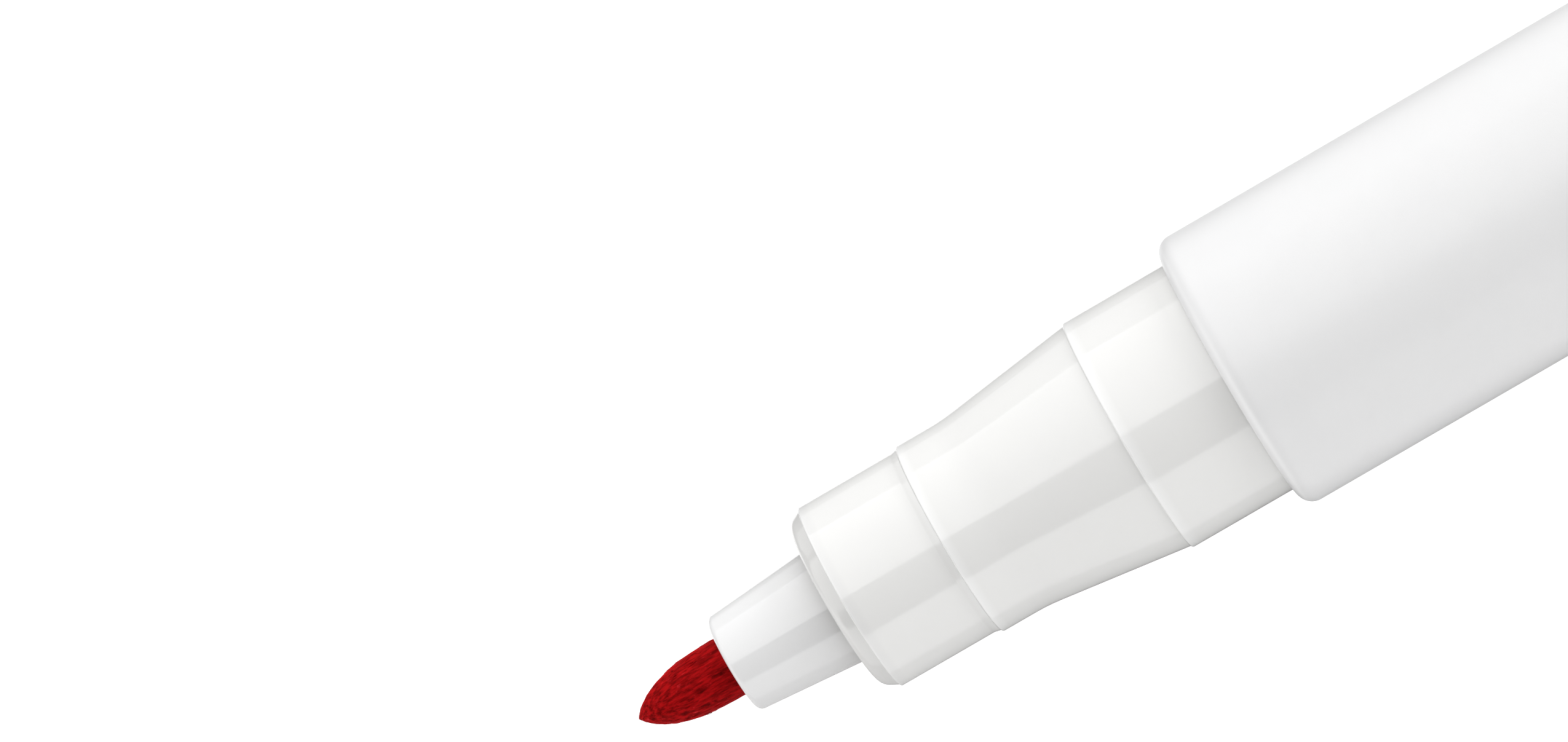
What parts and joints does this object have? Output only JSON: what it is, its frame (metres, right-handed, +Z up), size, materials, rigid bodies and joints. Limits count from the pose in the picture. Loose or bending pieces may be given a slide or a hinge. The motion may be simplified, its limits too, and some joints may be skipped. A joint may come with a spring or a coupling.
{
  "type": "whiteboard marker",
  "caption": "Whiteboard marker with a bullet nib, a stepped white nose, a straight white barrel, and a red cap with a pocket clip pushed onto its tail.",
  "frame": {"origin": "on the surface the marker lies on, under the middle of its box", "axes": "+X along the marker from the nib towards the cap's closed end, +Z up, +Y away from the clip"},
  "size_m": [0.1704, 0.0194, 0.017],
  "materials": {
    "nib_fibre": "sintered polyester fibre, soaked with red ink",
    "white_gloss": "glossy moulded polypropylene, a slightly warm white",
    "white_satin": "satin extruded polypropylene, neutral white",
    "red_gloss": "glossy moulded polypropylene in the ink's colour",
    "natural_seal": "soft uncoloured polyethylene",
    "inked_wad": "polyester fibre wad, soaked with red ink",
    "wrap_film": "thin clear film, tinted by the ink behind it"
  },
  "bodies": {
    "marker": {"nib": "nib_fibre", "nib_holder": "white_gloss", "nose_section": "white_gloss", "barrel": "white_satin", "ink_reservoir": "inked_wad", "reservoir_wrap": "wrap_film", "tail_plug": "red_gloss"},
    "cap": {"cap_shell": "red_gloss", "cap_seal": "natural_seal"},
    "clip": {"pocket_clip": "red_gloss"}
  },
  "joints": [
    {"name": "cap_pull", "type": "slide", "parent": "marker", "child": "cap", "axis": [1, 0, 0], "range_m": [0, 0.035]},
    {"name": "clip_flex", "type": "hinge", "parent": "cap", "child": "clip", "pos_m": [0.07815, -0.00763, 0.00277], "axis": [0, -0.5428, 0.8399], "range_deg": [0, 3], "stiffness_Nm_per_rad": 0.25}
  ]
}
